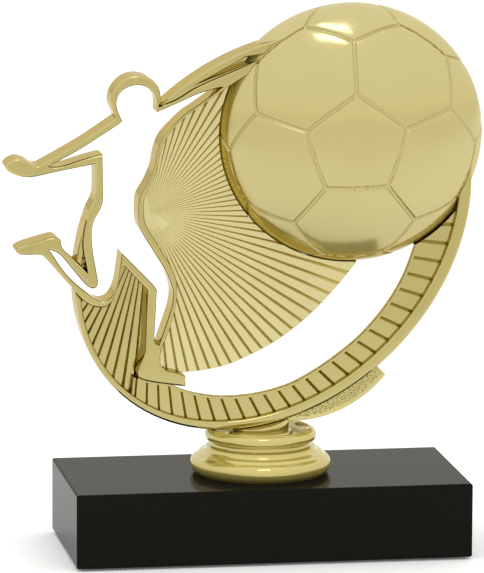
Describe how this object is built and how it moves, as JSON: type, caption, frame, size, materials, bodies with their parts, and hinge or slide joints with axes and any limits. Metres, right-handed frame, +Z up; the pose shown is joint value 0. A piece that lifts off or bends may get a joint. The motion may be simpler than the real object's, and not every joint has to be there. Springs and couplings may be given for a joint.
{
  "type": "figure trophy",
  "caption": "Sports trophy: a ball-kicking figure drawn as an open outline, joined by a ribbed fan and an open ring to a large panelled ball, on a turned collar and a polished stone base.",
  "frame": {"origin": "Centre of the felt's underside, on the centre line of the threaded rod.", "axes": "+X to the viewer's right as the trophy faces the viewer, +Y to the back, +Z up."},
  "size_m": [0.1542, 0.0604, 0.1752],
  "materials": {
    "stone": "polished black stone",
    "felt": "black adhesive felt",
    "steel": "zinc plated",
    "gold": "vacuum metallised in pale gold"
  },
  "bodies": {
    "base": {"marble_base": "stone", "base_felt": "felt"},
    "figure": {"threaded_rod": "steel", "flat_washer": "steel", "split_washer": "steel", "base_nut": "steel", "riser_collar": "gold", "collar_nut": "steel", "rear_cradle": "gold", "ring_rim": "gold", "slatted_band": "gold", "fan_panel": "gold", "lower_fan": "gold", "shoulder_swoosh": "gold", "player_outline": "gold", "ball_front_shell": "gold", "ball_back_shell": "gold"}
  },
  "joints": [
    {"name": "figure_swivel", "type": "hinge", "parent": "base", "child": "figure", "pos_m": [0, 0, 0.0246], "axis": [0, 0, 1], "continuous": true}
  ]
}
